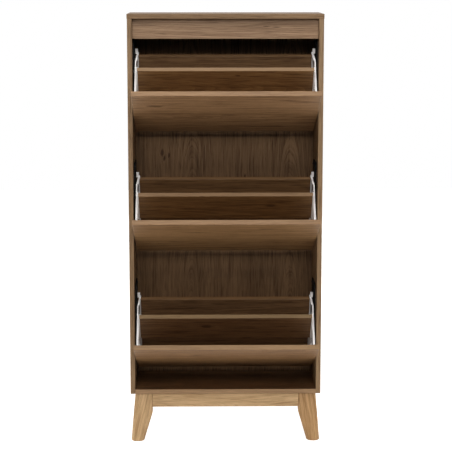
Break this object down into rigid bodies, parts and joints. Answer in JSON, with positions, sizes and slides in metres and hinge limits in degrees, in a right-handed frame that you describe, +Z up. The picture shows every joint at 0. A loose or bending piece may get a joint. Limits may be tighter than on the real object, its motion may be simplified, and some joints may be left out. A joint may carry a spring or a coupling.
{
  "type": "shoe cabinet",
  "caption": "Tall slim shoe cabinet with tip-out flaps that each carry two slanted boards between moulded end frames, on a splayed wooden base.",
  "frame": {"origin": "on the floor, at the middle of the box the cabinet fills with its flaps open", "axes": "+X to the right seen from the front, +Y from the front to the back, +Z up"},
  "size_m": [0.652, 0.44, 1.46],
  "materials": {
    "oak_foil": "wood-grain foil on particle board, satin",
    "back_foil": "wood-grain foil on thin fibreboard, satin",
    "base_oak": "solid oak, clear matt lacquer",
    "white_plastic": "injection moulded, satin",
    "black_plastic": "injection moulded, fine texture"
  },
  "bodies": {
    "cabinet": {"side_panel_left": "oak_foil", "side_panel_right": "oak_foil", "top_panel": "oak_foil", "bottom_panel": "oak_foil", "top_rail": "oak_foil", "back_panel": "back_foil", "leg_front_left": "base_oak", "leg_front_right": "base_oak", "leg_rear_left": "base_oak", "leg_rear_right": "base_oak", "apron_front": "base_oak", "apron_rear": "base_oak", "apron_left": "base_oak", "apron_right": "base_oak", "upper_hinge_plate_left": "black_plastic", "upper_hinge_plate_right": "black_plastic", "middle_hinge_plate_left": "black_plastic", "middle_hinge_plate_right": "black_plastic", "lower_hinge_plate_left": "black_plastic", "lower_hinge_plate_right": "black_plastic"},
    "upper_tip_out": {"upper_flap": "oak_foil", "upper_divider": "oak_foil", "upper_rear_board": "oak_foil", "upper_tip_frame_left": "white_plastic", "upper_tip_frame_right": "white_plastic"},
    "middle_tip_out": {"middle_flap": "oak_foil", "middle_divider": "oak_foil", "middle_rear_board": "oak_foil", "middle_tip_frame_left": "white_plastic", "middle_tip_frame_right": "white_plastic"},
    "lower_tip_out": {"lower_flap": "oak_foil", "lower_divider": "oak_foil", "lower_rear_board": "oak_foil", "lower_tip_frame_left": "white_plastic", "lower_tip_frame_right": "white_plastic"}
  },
  "joints": [
    {"name": "upper_flap_hinge", "type": "hinge", "parent": "cabinet", "child": "upper_tip_out", "pos_m": [0, 0.04499, 1.176], "axis": [-1, 0, 0], "range_deg": [0, 67.5]},
    {"name": "middle_flap_hinge", "type": "hinge", "parent": "cabinet", "child": "middle_tip_out", "pos_m": [0, 0.04499, 0.76], "axis": [-1, 0, 0], "range_deg": [0, 67.5]},
    {"name": "lower_flap_hinge", "type": "hinge", "parent": "cabinet", "child": "lower_tip_out", "pos_m": [0, 0.04499, 0.344], "axis": [-1, 0, 0], "range_deg": [0, 67.5]}
  ]
}
